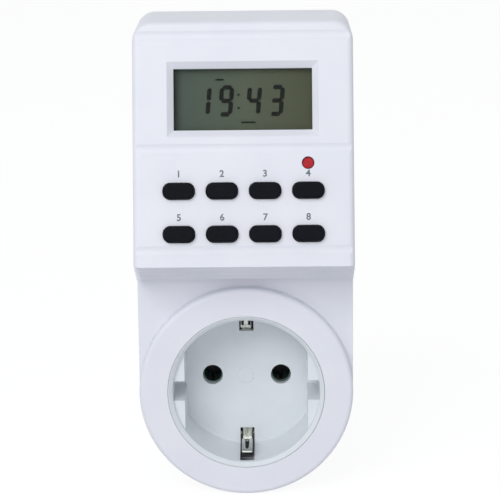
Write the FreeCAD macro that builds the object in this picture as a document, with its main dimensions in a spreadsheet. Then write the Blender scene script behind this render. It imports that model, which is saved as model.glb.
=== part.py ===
# Plug-in timer switch: a digital time switch with a mains plug behind and a socket in front.
# Millimetres. X is to the right, Z is up and Y runs into the wall.
# The origin is the centre of the plug's face, which the socket shares its axis with.
import FreeCAD, Part
import os
import re

import Sketcher
from FreeCAD import Placement, Rotation, Vector

SIZES = {
    # Plug and socket pattern
    "pin_spacing": 19.0,
    "pin_diameter": 4.8,
    "pin_length": 19.0,
    "pin_tip_round": 1.6,
    "pin_shoulder": 0.4,
    "boss_diameter": 37.0,
    "boss_height": 17.0,
    "boss_flat_width": 32.6,
    "boss_rib_width": 5.0,
    "boss_wall": 2.0,
    "recess_diameter": 40.0,
    "recess_depth": 17.5,
    "recess_flat_width": 33.4,
    "recess_notch_width": 5.4,
    "recess_pad_setback": 2.0,
    "mouth_chamfer": 1.0,
    "insert_wall": 1.2,
    "insert_flange_gap": 2.3,
    "insert_flange_thickness": 2.0,
    "floor_thickness": 2.0,
    "hole_diameter": 5.6,
    "earth_slot_width": 3.9,
    "earth_slot_low": 15.5,
    "earth_slot_high": 12.6,
    "earth_slot_setback": 2.3,
    "contact_room": 13.0,
    # Housing
    "body_width": 58.0,
    "wall": 2.2,
    "collar_proud": 3.5,
    "collar_round": 1.2,
    "head_bottom": 38.0,
    "head_height": 62.2,
    "head_proud": 12.5,
    "face_lean": 14.8,
    "head_corner": 5.0,
    "head_edge_round": 1.6,
    "underside_drop": 6.1,
    "rear_depth": 7.0,
    "rear_edge_round": 2.5,
    "lip_height": 1.5,
    "lip_thickness": 0.8,
    "groove_radius": 2.6,
    "groove_depth": 0.3,
    "groove_low": 4.4,
    "groove_margin": 1.4,
    # Housing screws
    "post_diameter": 5.6,
    "high_post_inset": 6.0,
    "low_post_inset": 7.0,
    "low_post_height": 26.5,
    "screw_shank": 2.9,
    "screw_head": 5.6,
    "screw_head_height": 1.8,
    "screw_seat": 3.5,
    "screw_well": 6.4,
    "screw_well_wall": 0.9,
    "screw_slot_length": 3.36,
    "screw_slot_width": 0.8,
    "screw_slot_depth": 0.99,
    "screw_grip": 8.0,
    # Display
    "window_border": 1.3,
    "window_height": 16.2,
    "window_bottom": 36.0,
    "bevel_depth": 1.4,
    "bevel_high": 1.8,
    "bevel_side": 1.7,
    "pane_thickness": 1.0,
    "glass_height": 20.0,
    "glass_depth": 3.5,
    "glass_thickness": 2.4,
    "frame_wall": 1.6,
    "zebra_width": 2.0,
    "zebra_end_gap": 1.5,
    "zebra_margin": 0.4,
    # Keys
    "key_pitch": 11.3,
    "key_row_low": 8.7,
    "key_width": 8.15,
    "key_height": 4.1,
    "key_corner": 1.85,
    "key_crown": 0.45,
    "key_proud": 1.6,
    "key_gap": 0.2,
    "key_flange": 0.7,
    "key_flange_thickness": 0.85,
    "key_stem_width": 5.0,
    "key_stem_height": 2.4,
    "key_travel": 0.9,
    "reset_height": 27.2,
    "reset_diameter": 2.9,
    "reset_setback": 0.6,
    "reset_flange": 0.85,
    "reset_stem": 1.8,
    "reset_travel": 0.8,
    "reset_switch_size": 4.4,
    "reset_switch_height": 1.6,
    "mat_thickness": 1.2,
    "mat_side_gap": 0.4,
    "mat_bottom": 4.6,
    "mat_top": 24.6,
    "mat_pad_height": 0.5,
    "mat_pad_margin": 0.6,
    # Control board
    "board_thickness": 1.6,
    "control_board_depth": 8.6,
    "control_board_gap": 1.4,
    "control_board_bottom": 3.5,
    "control_board_top": 56.0,
    "control_post_inset": 1.8,
    "control_post_low": 14.35,
    "control_post_high": 53.0,
    "control_post_diameter": 4.4,
    "blob_diameter": 12.0,
    "blob_height": 1.8,
    "blob_side": 6.0,
    "blob_row": 30.0,
    "cell_diameter": 15.6,
    "cell_thickness": 5.0,
    "cell_side": 14.0,
    "cell_row": 40.0,
    "crystal_diameter": 2.0,
    "crystal_length": 6.0,
    "crystal_side": 14.0,
    "crystal_row": 20.0,
    # Power board
    "power_board_gap": 3.8,
    "power_board_bottom": 42.0,
    "power_board_top": 88.0,
    "power_post_inset": 3.0,
    "power_post_diameter": 5.0,
    "relay_length": 28.0,
    "relay_width": 12.7,
    "relay_height": 15.0,
    "relay_side": 5.5,
    "relay_rise": 6.0,
    "dropper_length": 18.0,
    "dropper_width": 8.0,
    "dropper_height": 12.0,
    "dropper_side": 2.0,
    "dropper_gap": 3.0,
    "smoothing_diameter": 8.0,
    "smoothing_height": 9.0,
    "smoothing_side": 10.0,
    "smoothing_gap": 2.0,
    "diode_diameter": 2.6,
    "diode_length": 5.0,
    "diode_side": 17.0,
    "diode_drop": 8.0,
    "diode_pitch": 3.6,
    "resistor_diameter": 3.6,
    "resistor_length": 10.0,
    "resistor_side": 21.0,
    "resistor_rise": 22.0,
    "ribbon_width": 8.0,
    "ribbon_thickness": 0.8,
    "ribbon_inset": 2.0,
    "ribbon_foot_rise": 9.0,
    "ribbon_head_rise": 15.0,
    "ribbon_run": 6.0,
    "ribbon_climb": 5.0,
    "ribbon_gap": 0.3,
    "board_screw_shank": 2.0,
    "board_screw_head": 4.0,
    "board_screw_head_height": 1.2,
    "board_screw_length": 5.0,
    # Contacts
    "sleeve_wall": 0.8,
    "sleeve_length": 7.0,
    "sleeve_slit": 1.0,
    "strip_thickness": 0.6,
    "strip_width": 3.6,
    "live_tab_rise": 3.0,
    "feed_tab_rise": 4.0,
    "feed_shift": 0.5,
    "feed_bend_gap": 4.0,
    "feed_run_gap": 1.4,
    "pin_flange_diameter": 6.8,
    "pin_flange_thickness": 1.5,
    "pin_tail_diameter": 3.6,
    "pin_tail_length": 2.5,
    "carrier_width": 35.0,
    "carrier_height": 13.0,
    "earth_strip_width": 3.0,
    "earth_base_width": 5.0,
    "earth_strip_thickness": 0.8,
    "earth_tongue_reach": 16.2,
    "earth_tongue_root": 19.6,
    "earth_tongue_setback": 3.0,
    "earth_tongue_flare": 1.4,
    "earth_touch_depth": 6.3,
    "earth_tongue_slit": 0.9,
    "earth_slit_front": 2.5,
    "earth_slit_back": 4.5,
    "plug_earth_width": 4.0,
    "plug_earth_setback": 3.0,
    # Fits
    "fit_gap": 0.1,
    "slot_gap": 0.2,
}

DERIVED = {
    "half_width": "(body_width / 2)",
    "pin_radius": "(pin_diameter / 2)",
    "pin_shoulder_radius": "(pin_radius + pin_shoulder)",
    "pin_offset": "(pin_spacing / 2)",
    "recess_radius": "(recess_diameter / 2)",
    "insert_radius": "(recess_radius + insert_wall)",
    "flange_radius": "(half_width - wall - insert_flange_gap)",
    "boss_radius": "(boss_diameter / 2)",
    "boss_room_radius": "(boss_flat_width / 2 - boss_wall)",
    "back_y": "(-boss_height)",
    "rear_inside_y": "(back_y - wall)",
    "part_y": "(back_y - rear_depth)",
    "floor_y": "(back_y - contact_room)",
    "floor_back_y": "(floor_y + floor_thickness)",
    "collar_y": "(floor_y - recess_depth)",
    "lower_y": "(collar_y + collar_proud)",
    "flange_y": "(collar_y + wall + fit_gap)",
    "head_y": "(collar_y - head_proud)",
    "head_top": "(head_bottom + head_height)",
    "head_top_y": "(head_y + head_height * tan(face_lean))",
    "groove_middle": "(head_height / 2)",
    "groove_high": "(head_height - groove_margin)",
    "step_run": "((lower_y - head_y) / 4)",
    "step_drop": "(underside_drop / 3)",
    "high_post_side": "(half_width - high_post_inset)",
    "high_post_height": "(head_top - high_post_inset)",
    "low_post_side": "(half_width - low_post_inset)",
    "control_board_width": "(body_width - (wall + control_board_gap) * 2)",
    "control_post_side": "(control_board_width / 2 - control_post_inset)",
    "control_post_inner": "(control_post_side - control_post_diameter / 2)",
    "power_board_width": "(body_width - (wall + power_board_gap) * 2)",
    "power_post_side": "(power_board_width / 2 - power_post_inset)",
    "glass_width": "((control_post_inner - slot_gap - fit_gap - frame_wall) * 2)",
    "window_width": "(glass_width - window_border * 2)",
    "zebra_length": "(glass_width - zebra_end_gap * 2)",
    "mat_width": "((control_post_inner - mat_side_gap) * 2)",
    "pane_depth": "(wall + fit_gap)",
    "glass_low": "(window_bottom + (window_height - glass_height) / 2)",
    "zebra_depth": "(glass_depth + glass_thickness)",
    "key_row_high": "(key_row_low + key_pitch)",
    "key_flange_depth": "(wall + fit_gap)",
    "mat_depth": "(control_board_depth - mat_thickness)",
    "key_stem_depth": "(mat_depth - mat_pad_height - key_travel - fit_gap)",
    "reset_switch_depth": "(control_board_depth - reset_switch_height)",
    "reset_stem_depth": "(reset_switch_depth - reset_travel - fit_gap)",
    "reset_side": "(key_pitch * 1.5)",
    "board_back_depth": "(control_board_depth + board_thickness)",
    "power_board_y": "(part_y - board_thickness)",
    "power_post_low": "(power_board_bottom + power_post_inset)",
    "power_post_high": "(power_board_top - power_post_inset)",
    "sleeve_inner": "(pin_radius + fit_gap)",
    "sleeve_outer": "(sleeve_inner + sleeve_wall)",
    "sleeve_front_y": "(floor_back_y + fit_gap + strip_thickness)",
    "pin_flange_y": "(-boss_wall - pin_flange_thickness)",
    "pin_strip_y": "(pin_flange_y - strip_thickness)",
    "strip_foot": "(pin_flange_diameter / 2 - slot_gap)",
    "live_tab_z": "(power_board_bottom + live_tab_rise)",
    "feed_tab_z": "(power_board_bottom + feed_tab_rise)",
    "feed_run_y": "(part_y + strip_thickness + feed_run_gap)",
    "feed_bend_z": "(boss_room_radius - feed_bend_gap)",
    "carrier_y": "(floor_back_y + 1)",
    "carrier_back_y": "(rear_inside_y - fit_gap)",
    "earth_base_y": "(floor_back_y + fit_gap)",
    "earth_tip_y": "(collar_y + earth_tongue_setback)",
    "earth_touch_y": "(earth_tip_y + earth_touch_depth)",
    "relay_low": "(power_board_bottom + relay_rise)",
    "dropper_low": "(relay_low + relay_width + dropper_gap)",
    "dropper_high": "(dropper_low + dropper_width)",
    "ribbon_low": "(power_board_bottom + ribbon_foot_rise)",
    "ribbon_high": "(power_board_bottom + ribbon_head_rise)",
    "ribbon_mid_y": "(power_board_y - ribbon_run)",
    "ribbon_end_v": "(ribbon_high - head_bottom + board_back_depth * sin(face_lean))",
    "ribbon_end_y": "(head_y + ribbon_end_v * tan(face_lean) + board_back_depth * cos(face_lean)"
                    " + ribbon_gap)",
    "plug_earth_out": "(boss_radius - fit_gap)",
    "plug_earth_in": "(plug_earth_out - earth_strip_thickness)",
}

KEY_NAMES = [
    ["key_clock", "key_timer", "key_mode", "key_random"],
    ["key_week", "key_hour", "key_minute", "key_recall"],
]

document = FreeCAD.newDocument("plug_in_timer_switch")
sheet = document.addObject("Spreadsheet::Sheet", "Sizes")
for row, (alias, number) in enumerate(SIZES.items(), start=1):
    sheet.set(f"A{row}", alias)
    sheet.set(f"B{row}", str(number))
    sheet.setAlias(f"B{row}", alias)
document.recompute()

nodes = []


# Formulas are written in the names above, and a bound property holds the sheet's own references.
def formula(text):
    def reference(match):
        word = match.group(0)
        if word in DERIVED:
            return formula(DERIVED[word])
        if word in SIZES:
            return "Sizes." + word
        return word

    return re.sub(r"[a-z_]+", reference, str(text))


def value(text):
    return float(sheet.evalExpression(formula(text)))


def bind(thing, path, text):
    thing.setExpression(path, formula(text))


# Sketches lie on a body's own origin planes. On the XZ plane a sketch looks back along -Y,
# and its height above the plane is -Y; on the YZ plane it looks along X.
def sketch_on(body, name, plane, height="0"):
    sketch = body.newObject("Sketcher::SketchObject", name)
    base = [feature for feature in body.Origin.OriginFeatures if feature.Role == plane][0]
    sketch.AttachmentSupport = [(base, "")]
    sketch.MapMode = "FlatFace"
    bind(sketch, ".AttachmentOffset.Base.z", height)
    return sketch


def constrain(sketch, kind, elements, text):
    index = sketch.addConstraint(Sketcher.Constraint(kind, *elements, value(text)))
    bind(sketch, f"Constraints[{index}]", text)


def pin_point(sketch, element, vertex, x, y):
    constrain(sketch, "DistanceX", (-1, 1, element, vertex), x)
    constrain(sketch, "DistanceY", (-1, 1, element, vertex), y)


def polygon(sketch, points):
    spots = [Vector(value(x), value(y), 0) for x, y in points]
    first = sketch.GeometryCount
    following = spots[1:] + spots[:1]
    for start, end in zip(spots, following):
        sketch.addGeometry(Part.LineSegment(start, end))
    for number, (x, y) in enumerate(points):
        next_line = first + (number + 1) % len(points)
        sketch.addConstraint(Sketcher.Constraint("Coincident", first + number, 2, next_line, 1))
        pin_point(sketch, first + number, 1, x, y)


def rectangle(sketch, left, low, right, high):
    polygon(sketch, [(left, low), (right, low), (right, high), (left, high)])


def centred_rectangle(sketch, x, y, width, height):
    rectangle(sketch, f"{x} - ({width}) / 2", f"{y} - ({height}) / 2",
              f"{x} + ({width}) / 2", f"{y} + ({height}) / 2")


def circle(sketch, x, y, radius):
    element = sketch.addGeometry(Part.Circle(Vector(value(x), value(y), 0), Vector(0, 0, 1), value(radius)))
    pin_point(sketch, element, 3, x, y)
    constrain(sketch, "Radius", (element,), radius)


# A rectangle with round corners, as four lines whose ends are placed and four arcs between them.
def rounded_rectangle(sketch, x, y, width, height, radius):
    left, right = f"{x} - ({width}) / 2", f"{x} + ({width}) / 2"
    low, high = f"{y} - ({height}) / 2", f"{y} + ({height}) / 2"
    sides = [
        ((f"{left} + {radius}", low), (f"{right} - ({radius})", low)),
        ((right, f"{low} + {radius}"), (right, f"{high} - ({radius})")),
        ((f"{right} - ({radius})", high), (f"{left} + {radius}", high)),
        ((left, f"{high} - ({radius})"), (left, f"{low} + {radius}")),
    ]
    centres = [
        (f"{right} - ({radius})", f"{low} + {radius}", 270),
        (f"{right} - ({radius})", f"{high} - ({radius})", 0),
        (f"{left} + {radius}", f"{high} - ({radius})", 90),
        (f"{left} + {radius}", f"{low} + {radius}", 180),
    ]
    first = sketch.GeometryCount
    for start, end in sides:
        spots = [Vector(value(px), value(py), 0) for px, py in (start, end)]
        line = sketch.addGeometry(Part.LineSegment(*spots))
        pin_point(sketch, line, 1, *start)
        pin_point(sketch, line, 2, *end)
    for number, (px, py, start_angle) in enumerate(centres):
        whole = Part.Circle(Vector(value(px), value(py), 0), Vector(0, 0, 1), value(radius))
        begin = start_angle * 3.141592653589793 / 180
        arc = sketch.addGeometry(Part.ArcOfCircle(whole, begin, begin + 3.141592653589793 / 2))
        line, next_line = first + number, first + (number + 1) % 4
        sketch.addConstraint(Sketcher.Constraint("Coincident", arc, 1, line, 2))
        sketch.addConstraint(Sketcher.Constraint("Coincident", arc, 2, next_line, 1))
        constrain(sketch, "Radius", (arc,), radius)


def pad(body, name, sketch, length, away=False, both=False):
    feature = body.newObject("PartDesign::Pad", name)
    feature.Profile = sketch
    bind(feature, "Length", length)
    feature.Reversed = away
    if both:
        feature.SideType = "Symmetric"
    return feature


def pocket(body, name, sketch, length, away=False, both=False):
    feature = body.newObject("PartDesign::Pocket", name)
    feature.Profile = sketch
    bind(feature, "Length", length)
    feature.Reversed = away
    if both:
        feature.SideType = "Symmetric"
    return feature


def round_edges(body, name, radius, chosen, kind="PartDesign::Fillet"):
    base = body.Tip
    base.recompute(True)
    edges = [f"Edge{number}" for number, edge in enumerate(base.Shape.Edges, start=1) if chosen(edge)]
    if not edges:
        raise RuntimeError(f"{name} finds no edge")
    feature = body.newObject(kind, name)
    feature.Base = (base, edges)
    bind(feature, "Size" if kind == "PartDesign::Chamfer" else "Radius", radius)
    return feature


def new_body(name):
    return document.addObject("PartDesign::Body", name)


def box(name, low, high):
    solid = document.addObject("Part::Box", name)
    for side, axis, start, end in zip(("Length", "Width", "Height"), "xyz", low, high):
        bind(solid, side, f"({end}) - ({start})")
        bind(solid, f".Placement.Base.{axis}", start)
    return solid


# A cylinder or cone starts at its foot and runs along +Y, which is depth everywhere in this part.
AXES = {"x": Rotation(Vector(0, 1, 0), 90), "y": Rotation(Vector(1, 0, 0), -90), "z": Rotation()}


def cylinder(name, foot, radius, length, axis="y"):
    solid = document.addObject("Part::Cylinder", name)
    solid.Placement = Placement(Vector(), AXES[axis])
    for letter, start in zip("xyz", foot):
        bind(solid, f".Placement.Base.{letter}", start)
    bind(solid, "Radius", radius)
    bind(solid, "Height", length)
    return solid


def cone(name, foot, radius, end_radius, length):
    solid = document.addObject("Part::Cone", name)
    solid.Placement = Placement(Vector(), AXES["y"])
    for letter, start in zip("xyz", foot):
        bind(solid, f".Placement.Base.{letter}", start)
    bind(solid, "Radius1", radius)
    bind(solid, "Radius2", end_radius)
    bind(solid, "Height", length)
    return solid


def fuse(name, pieces):
    joined = document.addObject("Part::MultiFuse", name)
    joined.Shapes = pieces
    joined.Refine = True
    return joined


def cut(name, base, tools):
    result = document.addObject("Part::Cut", name)
    result.Base = base
    result.Tool = tools[0] if len(tools) == 1 else fuse(name + "_tools", tools)
    return result


def group(name, pieces):
    together = document.addObject("Part::Compound", name)
    together.Links = pieces
    return together


# Pieces behind the leaning face are made upright and leaned as one: X along the face's bottom
# edge, Y the depth behind the face and Z the distance up it.
def lean(thing):
    thing.Placement = Placement(Vector(), Rotation(Vector(1, 0, 0), 1))
    bind(thing, ".Placement.Base.y", "head_y")
    bind(thing, ".Placement.Base.z", "head_bottom")
    bind(thing, ".Placement.Rotation.Angle", "-face_lean")
    return thing


def node(name, thing):
    thing.Label = name
    nodes.append(thing)
    return thing


def mirrored_sides():
    return (("left", "-1"), ("right", "1"))


def round_top_corners(body, name, inset):
    corner = value(f"half_width - ({inset})")
    top = value(f"head_top - ({inset})")
    round_edges(body, name + "_corners", f"head_corner - ({inset})",
                lambda edge: edge.BoundBox.XLength < 0.01 and edge.BoundBox.ZLength < 0.01 and
                all(abs(abs(v.X) - corner) < 0.01 and abs(v.Z - top) < 0.01 for v in edge.Vertexes))


# The housing's outer form, or with an inset the room inside it.
def housing_form(name, inset, collar_length, body_front, underside):
    body = new_body(name)
    block = sketch_on(body, name + "_block", "XZ_Plane", "-part_y")
    rectangle(block, f"-half_width + {inset}", "0", f"half_width - {inset}", f"head_top - {inset}")
    pad(body, name + "_block_pad", block, "part_y - head_y")
    round_end = sketch_on(body, name + "_end", "XZ_Plane", "-part_y")
    circle(round_end, "0", "0", f"half_width - {inset}")
    pad(body, name + "_end_pad", round_end, f"part_y - ({body_front})")
    profile = sketch_on(body, name + "_profile", "YZ_Plane")
    slant = f"({inset}) / cos(face_lean)"
    polygon(profile, [
        (f"head_top_y + {slant}", "head_top"),
        ("head_y - head_proud", "head_top"),
        ("head_y - head_proud", "-1"),
        (body_front, "-1"),
    ] + underside)
    pocket(body, name + "_profile_cut", profile, "body_width * 2", both=True)
    round_top_corners(body, name, inset)
    collar = sketch_on(body, name + "_collar", "XZ_Plane", f"-({body_front})")
    circle(collar, "0", "0", f"half_width - {inset}")
    pad(body, name + "_collar_pad", collar, collar_length)
    return body


def stepped_underside():
    points = [("lower_y", "head_bottom - underside_drop")]
    for step in (3, 2, 1):
        points.append((f"head_y + step_run * {step}", f"head_bottom - step_drop * {step}"))
        points.append((f"head_y + step_run * {step}", f"head_bottom - step_drop * {step - 1}"))
    points.append(("head_y", "head_bottom"))
    return points


# The room's floor over the steps is one slope, a wall above the line through their inner corners,
# and it ends where it meets the inside of the leaning face.
def sloped_underside():
    slope = "(step_drop / step_run)"
    rise = f"(wall * sqrt(1 + {slope} * {slope}))"
    slant = "(wall / cos(face_lean))"
    front_rise = f"(({rise} - {slope} * ({slant} - step_run)) / (1 + {slope} * tan(face_lean)))"
    return [
        ("lower_y + wall", f"head_bottom + {rise} - {slope} * (lower_y + wall - head_y - step_run)"),
        (f"head_y + {slant} + {front_rise} * tan(face_lean)", f"head_bottom + {front_rise}"),
    ]


def front_outside():
    body = housing_form("front_outside", "0", "collar_proud", "lower_y", stepped_underside())
    collar_y, half = value("collar_y"), value("half_width")
    round_edges(body, "collar_edge", "collar_round",
                lambda edge: abs(edge.BoundBox.YMax - collar_y) < 0.01 and
                edge.BoundBox.XLength > half)
    lean_slope = value("tan(face_lean)")
    head_y, head_bottom = value("head_y"), value("head_bottom")

    def on_face(edge):
        return all(abs(v.Y - head_y - (v.Z - head_bottom) * lean_slope) < 0.01 and v.Z > head_bottom - 0.01
                   for v in edge.Vertexes) and edge.BoundBox.ZMax > head_bottom + 0.1

    round_edges(body, "face_edges", "head_edge_round", on_face)
    grooves = sketch_on(body, "face_grooves", "YZ_Plane")
    for height in ("groove_low", "groove_middle", "groove_high"):
        circle(grooves,
               f"head_y + {height} * sin(face_lean) - (groove_radius - groove_depth) * cos(face_lean)",
               f"head_bottom + {height} * cos(face_lean) + (groove_radius - groove_depth) * sin(face_lean)",
               "groove_radius")
    pocket(body, "face_grooves_cut", grooves, "body_width * 2", both=True)
    return body


def key_places():
    for row, names in zip(("key_row_low", "key_row_high"), KEY_NAMES):
        for column, name in enumerate(names):
            yield name, f"key_pitch * {column - 1.5}", row


# Everything that is cut through the leaning face, as one solid in the face's own frame.
def face_openings():
    body = new_body("face_openings")
    mouth = sketch_on(body, "window_mouth", "XZ_Plane", "0")
    centre = "window_bottom + window_height / 2"
    centred_rectangle(mouth, "0", centre, "window_width + bevel_side * 2", "window_height + bevel_high * 2")
    throat = sketch_on(body, "window_throat", "XZ_Plane", "-bevel_depth")
    centred_rectangle(throat, "0", centre, "window_width", "window_height")
    bevel = body.newObject("PartDesign::AdditiveLoft", "window_bevel")
    bevel.Profile = mouth
    bevel.Sections = [throat]
    bevel.Ruled = True
    through = sketch_on(body, "window_through", "XZ_Plane", "0")
    centred_rectangle(through, "0", centre, "window_width", "window_height")
    pad(body, "window_through_pad", through, "wall * 2", away=True)
    return lean(body)


def key_openings():
    tools = []
    for name, x, z in key_places():
        body = new_body(name + "_opening")
        outline = sketch_on(body, name + "_opening_outline", "XZ_Plane", "wall")
        rounded_rectangle(outline, x, z, "key_width + key_gap * 2", "key_height + key_gap * 2",
                          "(key_corner + key_gap)")
        pad(body, name + "_opening_pad", outline, "wall * 3", away=True)
        tools.append(lean(body))
    reset = cylinder("reset_opening", ("reset_side", "-wall", "reset_height"),
                     "reset_diameter / 2 + key_gap", "wall * 3")
    tools.append(lean(group("reset_opening_leaned", [reset])))
    return tools


def screw_places():
    for height_name, side, height in (("high", "high_post_side", "high_post_height"),
                                      ("low", "low_post_side", "low_post_height")):
        for side_name, sign in mirrored_sides():
            yield f"{height_name}_{side_name}", f"{side} * {sign}", height


def control_post_places():
    for height_name, height in (("low", "control_post_low"), ("high", "control_post_high")):
        for side_name, sign in mirrored_sides():
            yield f"{height_name}_{side_name}", f"control_post_side * {sign}", height


def front_housing():
    shell = cut("front_shell", front_outside(), [
        housing_form("front_inside", "wall", "collar_proud", "lower_y + wall", sloped_underside())])
    posts, bores = [], []
    for place, x, z in screw_places():
        front = ("lower_y + wall / 2" if place.startswith("low") else
                 f"head_y + ({z} - head_bottom) * tan(face_lean) + wall * 0.5")
        posts.append(cylinder("screw_post_" + place, (x, front, z), "post_diameter / 2",
                              f"part_y - ({front})"))
        bores.append(cylinder("screw_bore_" + place, (x, "part_y - screw_grip", z), "screw_shank / 2",
                              "screw_grip + 1"))
    for place, x, z in control_post_places():
        post = cylinder("control_post_" + place, (x, "wall / 2", z), "control_post_diameter / 2",
                        "control_board_depth - wall / 2")
        bore = cylinder("control_bore_" + place, (x, "control_board_depth - board_screw_length", z),
                        "board_screw_shank / 2", "board_screw_length + 1")
        posts.append(lean(group("control_post_leaned_" + place, [post])))
        bores.append(lean(group("control_bore_leaned_" + place, [bore])))
    mouth = cylinder("collar_mouth", ("0", "collar_y - 1", "0"), "insert_radius + fit_gap", "wall + 2")
    solid = fuse("front_with_posts", [shell] + posts)
    openings = bores + [mouth, face_openings()] + key_openings()
    return node("front_housing", cut("front_housing", solid, openings))


def outline_pads(body, name, inset, height, length):
    block = sketch_on(body, name + "_block", "XZ_Plane", height)
    rectangle(block, f"-half_width + {inset}", "0", f"half_width - ({inset})", f"head_top - ({inset})")
    pad(body, name + "_block_pad", block, length)
    round_end = sketch_on(body, name + "_end", "XZ_Plane", height)
    circle(round_end, "0", "0", f"half_width - ({inset})")
    pad(body, name + "_end_pad", round_end, length)
    round_top_corners(body, name, inset)


def rear_lip():
    outer = new_body("lip_outer")
    outline_pads(outer, "lip_outer", "wall + fit_gap", "-part_y", "lip_height")
    inner = new_body("lip_inner")
    outline_pads(inner, "lip_inner", "wall + fit_gap + lip_thickness", "-part_y", "lip_height")
    return cut("rear_lip", outer, [inner])


def rear_outside():
    body = new_body("rear_outside")
    outline_pads(body, "rear", "0", "-back_y", "rear_depth")
    back = value("back_y")
    round_edges(body, "rear_edge", "rear_edge_round",
                lambda edge: abs(edge.BoundBox.YMax - back) < 0.01 and edge.BoundBox.YLength < 0.01)
    boss = sketch_on(body, "boss", "XZ_Plane", "-back_y")
    circle(boss, "0", "0", "boss_radius")
    pad(body, "boss_pad", boss, "boss_height", away=True)
    flats = sketch_on(body, "boss_flats", "XZ_Plane", "0")
    for sign in ("-1", "1"):
        for half in ("-1", "1"):
            x_near, x_far = f"boss_flat_width / 2 * {sign}", f"boss_diameter * {sign}"
            z_near, z_far = f"boss_rib_width / 2 * {half}", f"boss_diameter * {half}"
            rectangle(flats, x_near, z_near, x_far, z_far)
    pocket(body, "boss_flats_cut", flats, "boss_height", away=False)
    return body


def power_post_places():
    for height_name, height in (("low", "power_post_low"), ("high", "power_post_high")):
        for side_name, sign in mirrored_sides():
            yield f"{height_name}_{side_name}", f"power_post_side * {sign}", height


def rear_housing():
    room = new_body("rear_room")
    outline_pads(room, "rear_room", "wall", "-rear_inside_y", "rear_depth - wall + 1")
    boss_room = cylinder("boss_room", ("0", "rear_inside_y - 1", "0"), "boss_room_radius",
                         "1 - rear_inside_y - boss_wall")
    shell = cut("rear_shell", rear_outside(), [room, boss_room])
    added, taken = [shell, rear_lip()], []
    for place, x, z in screw_places():
        added.append(cylinder("screw_tower_" + place, (x, "part_y", z), "screw_well / 2 + screw_well_wall",
                              "rear_depth - wall / 2"))
        taken.append(cylinder("screw_hole_" + place, (x, "part_y - 1", z), "screw_shank / 2 + slot_gap",
                              "rear_depth + 1"))
        taken.append(cylinder("screw_well_" + place, (x, "part_y + screw_seat", z), "screw_well / 2",
                              "rear_depth"))
    for place, x, z in power_post_places():
        added.append(cylinder("power_post_" + place, (x, "part_y", z), "power_post_diameter / 2",
                              "rear_depth - wall / 2"))
        taken.append(cylinder("power_bore_" + place, (x, "part_y - 1", z), "board_screw_shank / 2",
                              "board_screw_length"))
    for side, sign in mirrored_sides():
        taken.append(cylinder("pin_seat_" + side, (f"pin_offset * {sign}", "-boss_wall - 1", "0"),
                              "pin_shoulder_radius", "boss_wall + 2"))
    for side, sign in (("low", "-1"), ("high", "1")):
        near, far = f"(plug_earth_in - slot_gap) * {sign}", f"(boss_radius + 1) * {sign}"
        low, high = (far, near) if sign == "-1" else (near, far)
        taken.append(box("plug_earth_groove_" + side,
                         ("-plug_earth_width / 2 - slot_gap", "rear_inside_y - 1", low),
                         ("plug_earth_width / 2 + slot_gap", "-plug_earth_setback", high)))
    return node("rear_housing", cut("rear_housing", fuse("rear_with_posts", added), taken))


# The socket's well. What is cut from it is the space that a plug fills.
def socket_insert():
    blank = new_body("insert_blank")
    well = sketch_on(blank, "insert_well", "XZ_Plane", "-floor_back_y")
    circle(well, "0", "0", "insert_radius")
    pad(blank, "insert_well_pad", well, "floor_back_y - collar_y")
    flange = sketch_on(blank, "insert_flange", "XZ_Plane", "-flange_y - insert_flange_thickness")
    circle(flange, "0", "0", "flange_radius")
    pad(blank, "insert_flange_pad", flange, "insert_flange_thickness")

    space = new_body("recess_space")
    bore = sketch_on(space, "recess_bore", "XZ_Plane", "-floor_y")
    circle(bore, "0", "0", "recess_radius")
    pad(space, "recess_bore_pad", bore, "recess_depth")
    pads = sketch_on(space, "recess_pads", "XZ_Plane", "-collar_y - recess_pad_setback")
    for sign in ("-1", "1"):
        for half in ("-1", "1"):
            rectangle(pads, f"recess_flat_width / 2 * {sign}", f"recess_notch_width / 2 * {half}",
                      f"recess_diameter * {sign}", f"recess_diameter * {half}")
    pocket(space, "recess_pads_cut", pads, "recess_depth")

    taken = [space, cone("mouth_cone", ("0", "collar_y", "0"), "recess_radius + mouth_chamfer",
                         "recess_radius", "mouth_chamfer")]
    for side, sign in mirrored_sides():
        taken.append(cylinder("pin_hole_" + side, (f"pin_offset * {sign}", "floor_y - 1", "0"),
                              "hole_diameter / 2", "floor_thickness + 2"))
    outside = "flange_radius + 1"
    for side, low, high in (("low", f"-({outside})", "-earth_slot_low"),
                            ("high", "earth_slot_high", outside)):
        taken.append(box("earth_slot_" + side,
                         ("-earth_slot_width / 2", "collar_y + earth_slot_setback", low),
                         ("earth_slot_width / 2", "floor_back_y + 1", high)))
    return node("socket_insert", cut("socket_insert", blank, taken))


# One tongue of the earth strap, from the side: it runs out of the wall into the well and back.
def earth_tongue(side, sign):
    body = new_body("earth_tongue_" + side)
    profile = sketch_on(body, "earth_tongue_profile_" + side, "YZ_Plane")
    thick = "earth_strip_thickness"
    route = [
        ("earth_base_y", "earth_tongue_root"),
        ("floor_y + 1", "earth_tongue_root"),
        ("earth_touch_y", "earth_tongue_reach"),
        ("earth_tip_y", "earth_tongue_reach + earth_tongue_flare"),
    ]
    inner = [(y, f"({z}) * {sign}") for y, z in route]
    outer = [(y, f"({z} + {thick}) * {sign}") for y, z in reversed(route)]
    polygon(profile, inner + outer)
    pad(body, "earth_tongue_pad_" + side, profile, "earth_strip_width", both=True)
    slit_low, slit_high = "earth_touch_y - earth_slit_front", "earth_touch_y + earth_slit_back"
    near, far = f"(earth_tongue_reach - 1) * {sign}", f"(earth_tongue_root + 2) * {sign}"
    low, high = (far, near) if sign == "-1" else (near, far)
    slit = box("earth_tongue_slit_" + side, ("-earth_tongue_slit / 2", slit_low, low),
               ("earth_tongue_slit / 2", slit_high, high))
    return cut("earth_tongue_cut_" + side, body, [slit])


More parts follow.
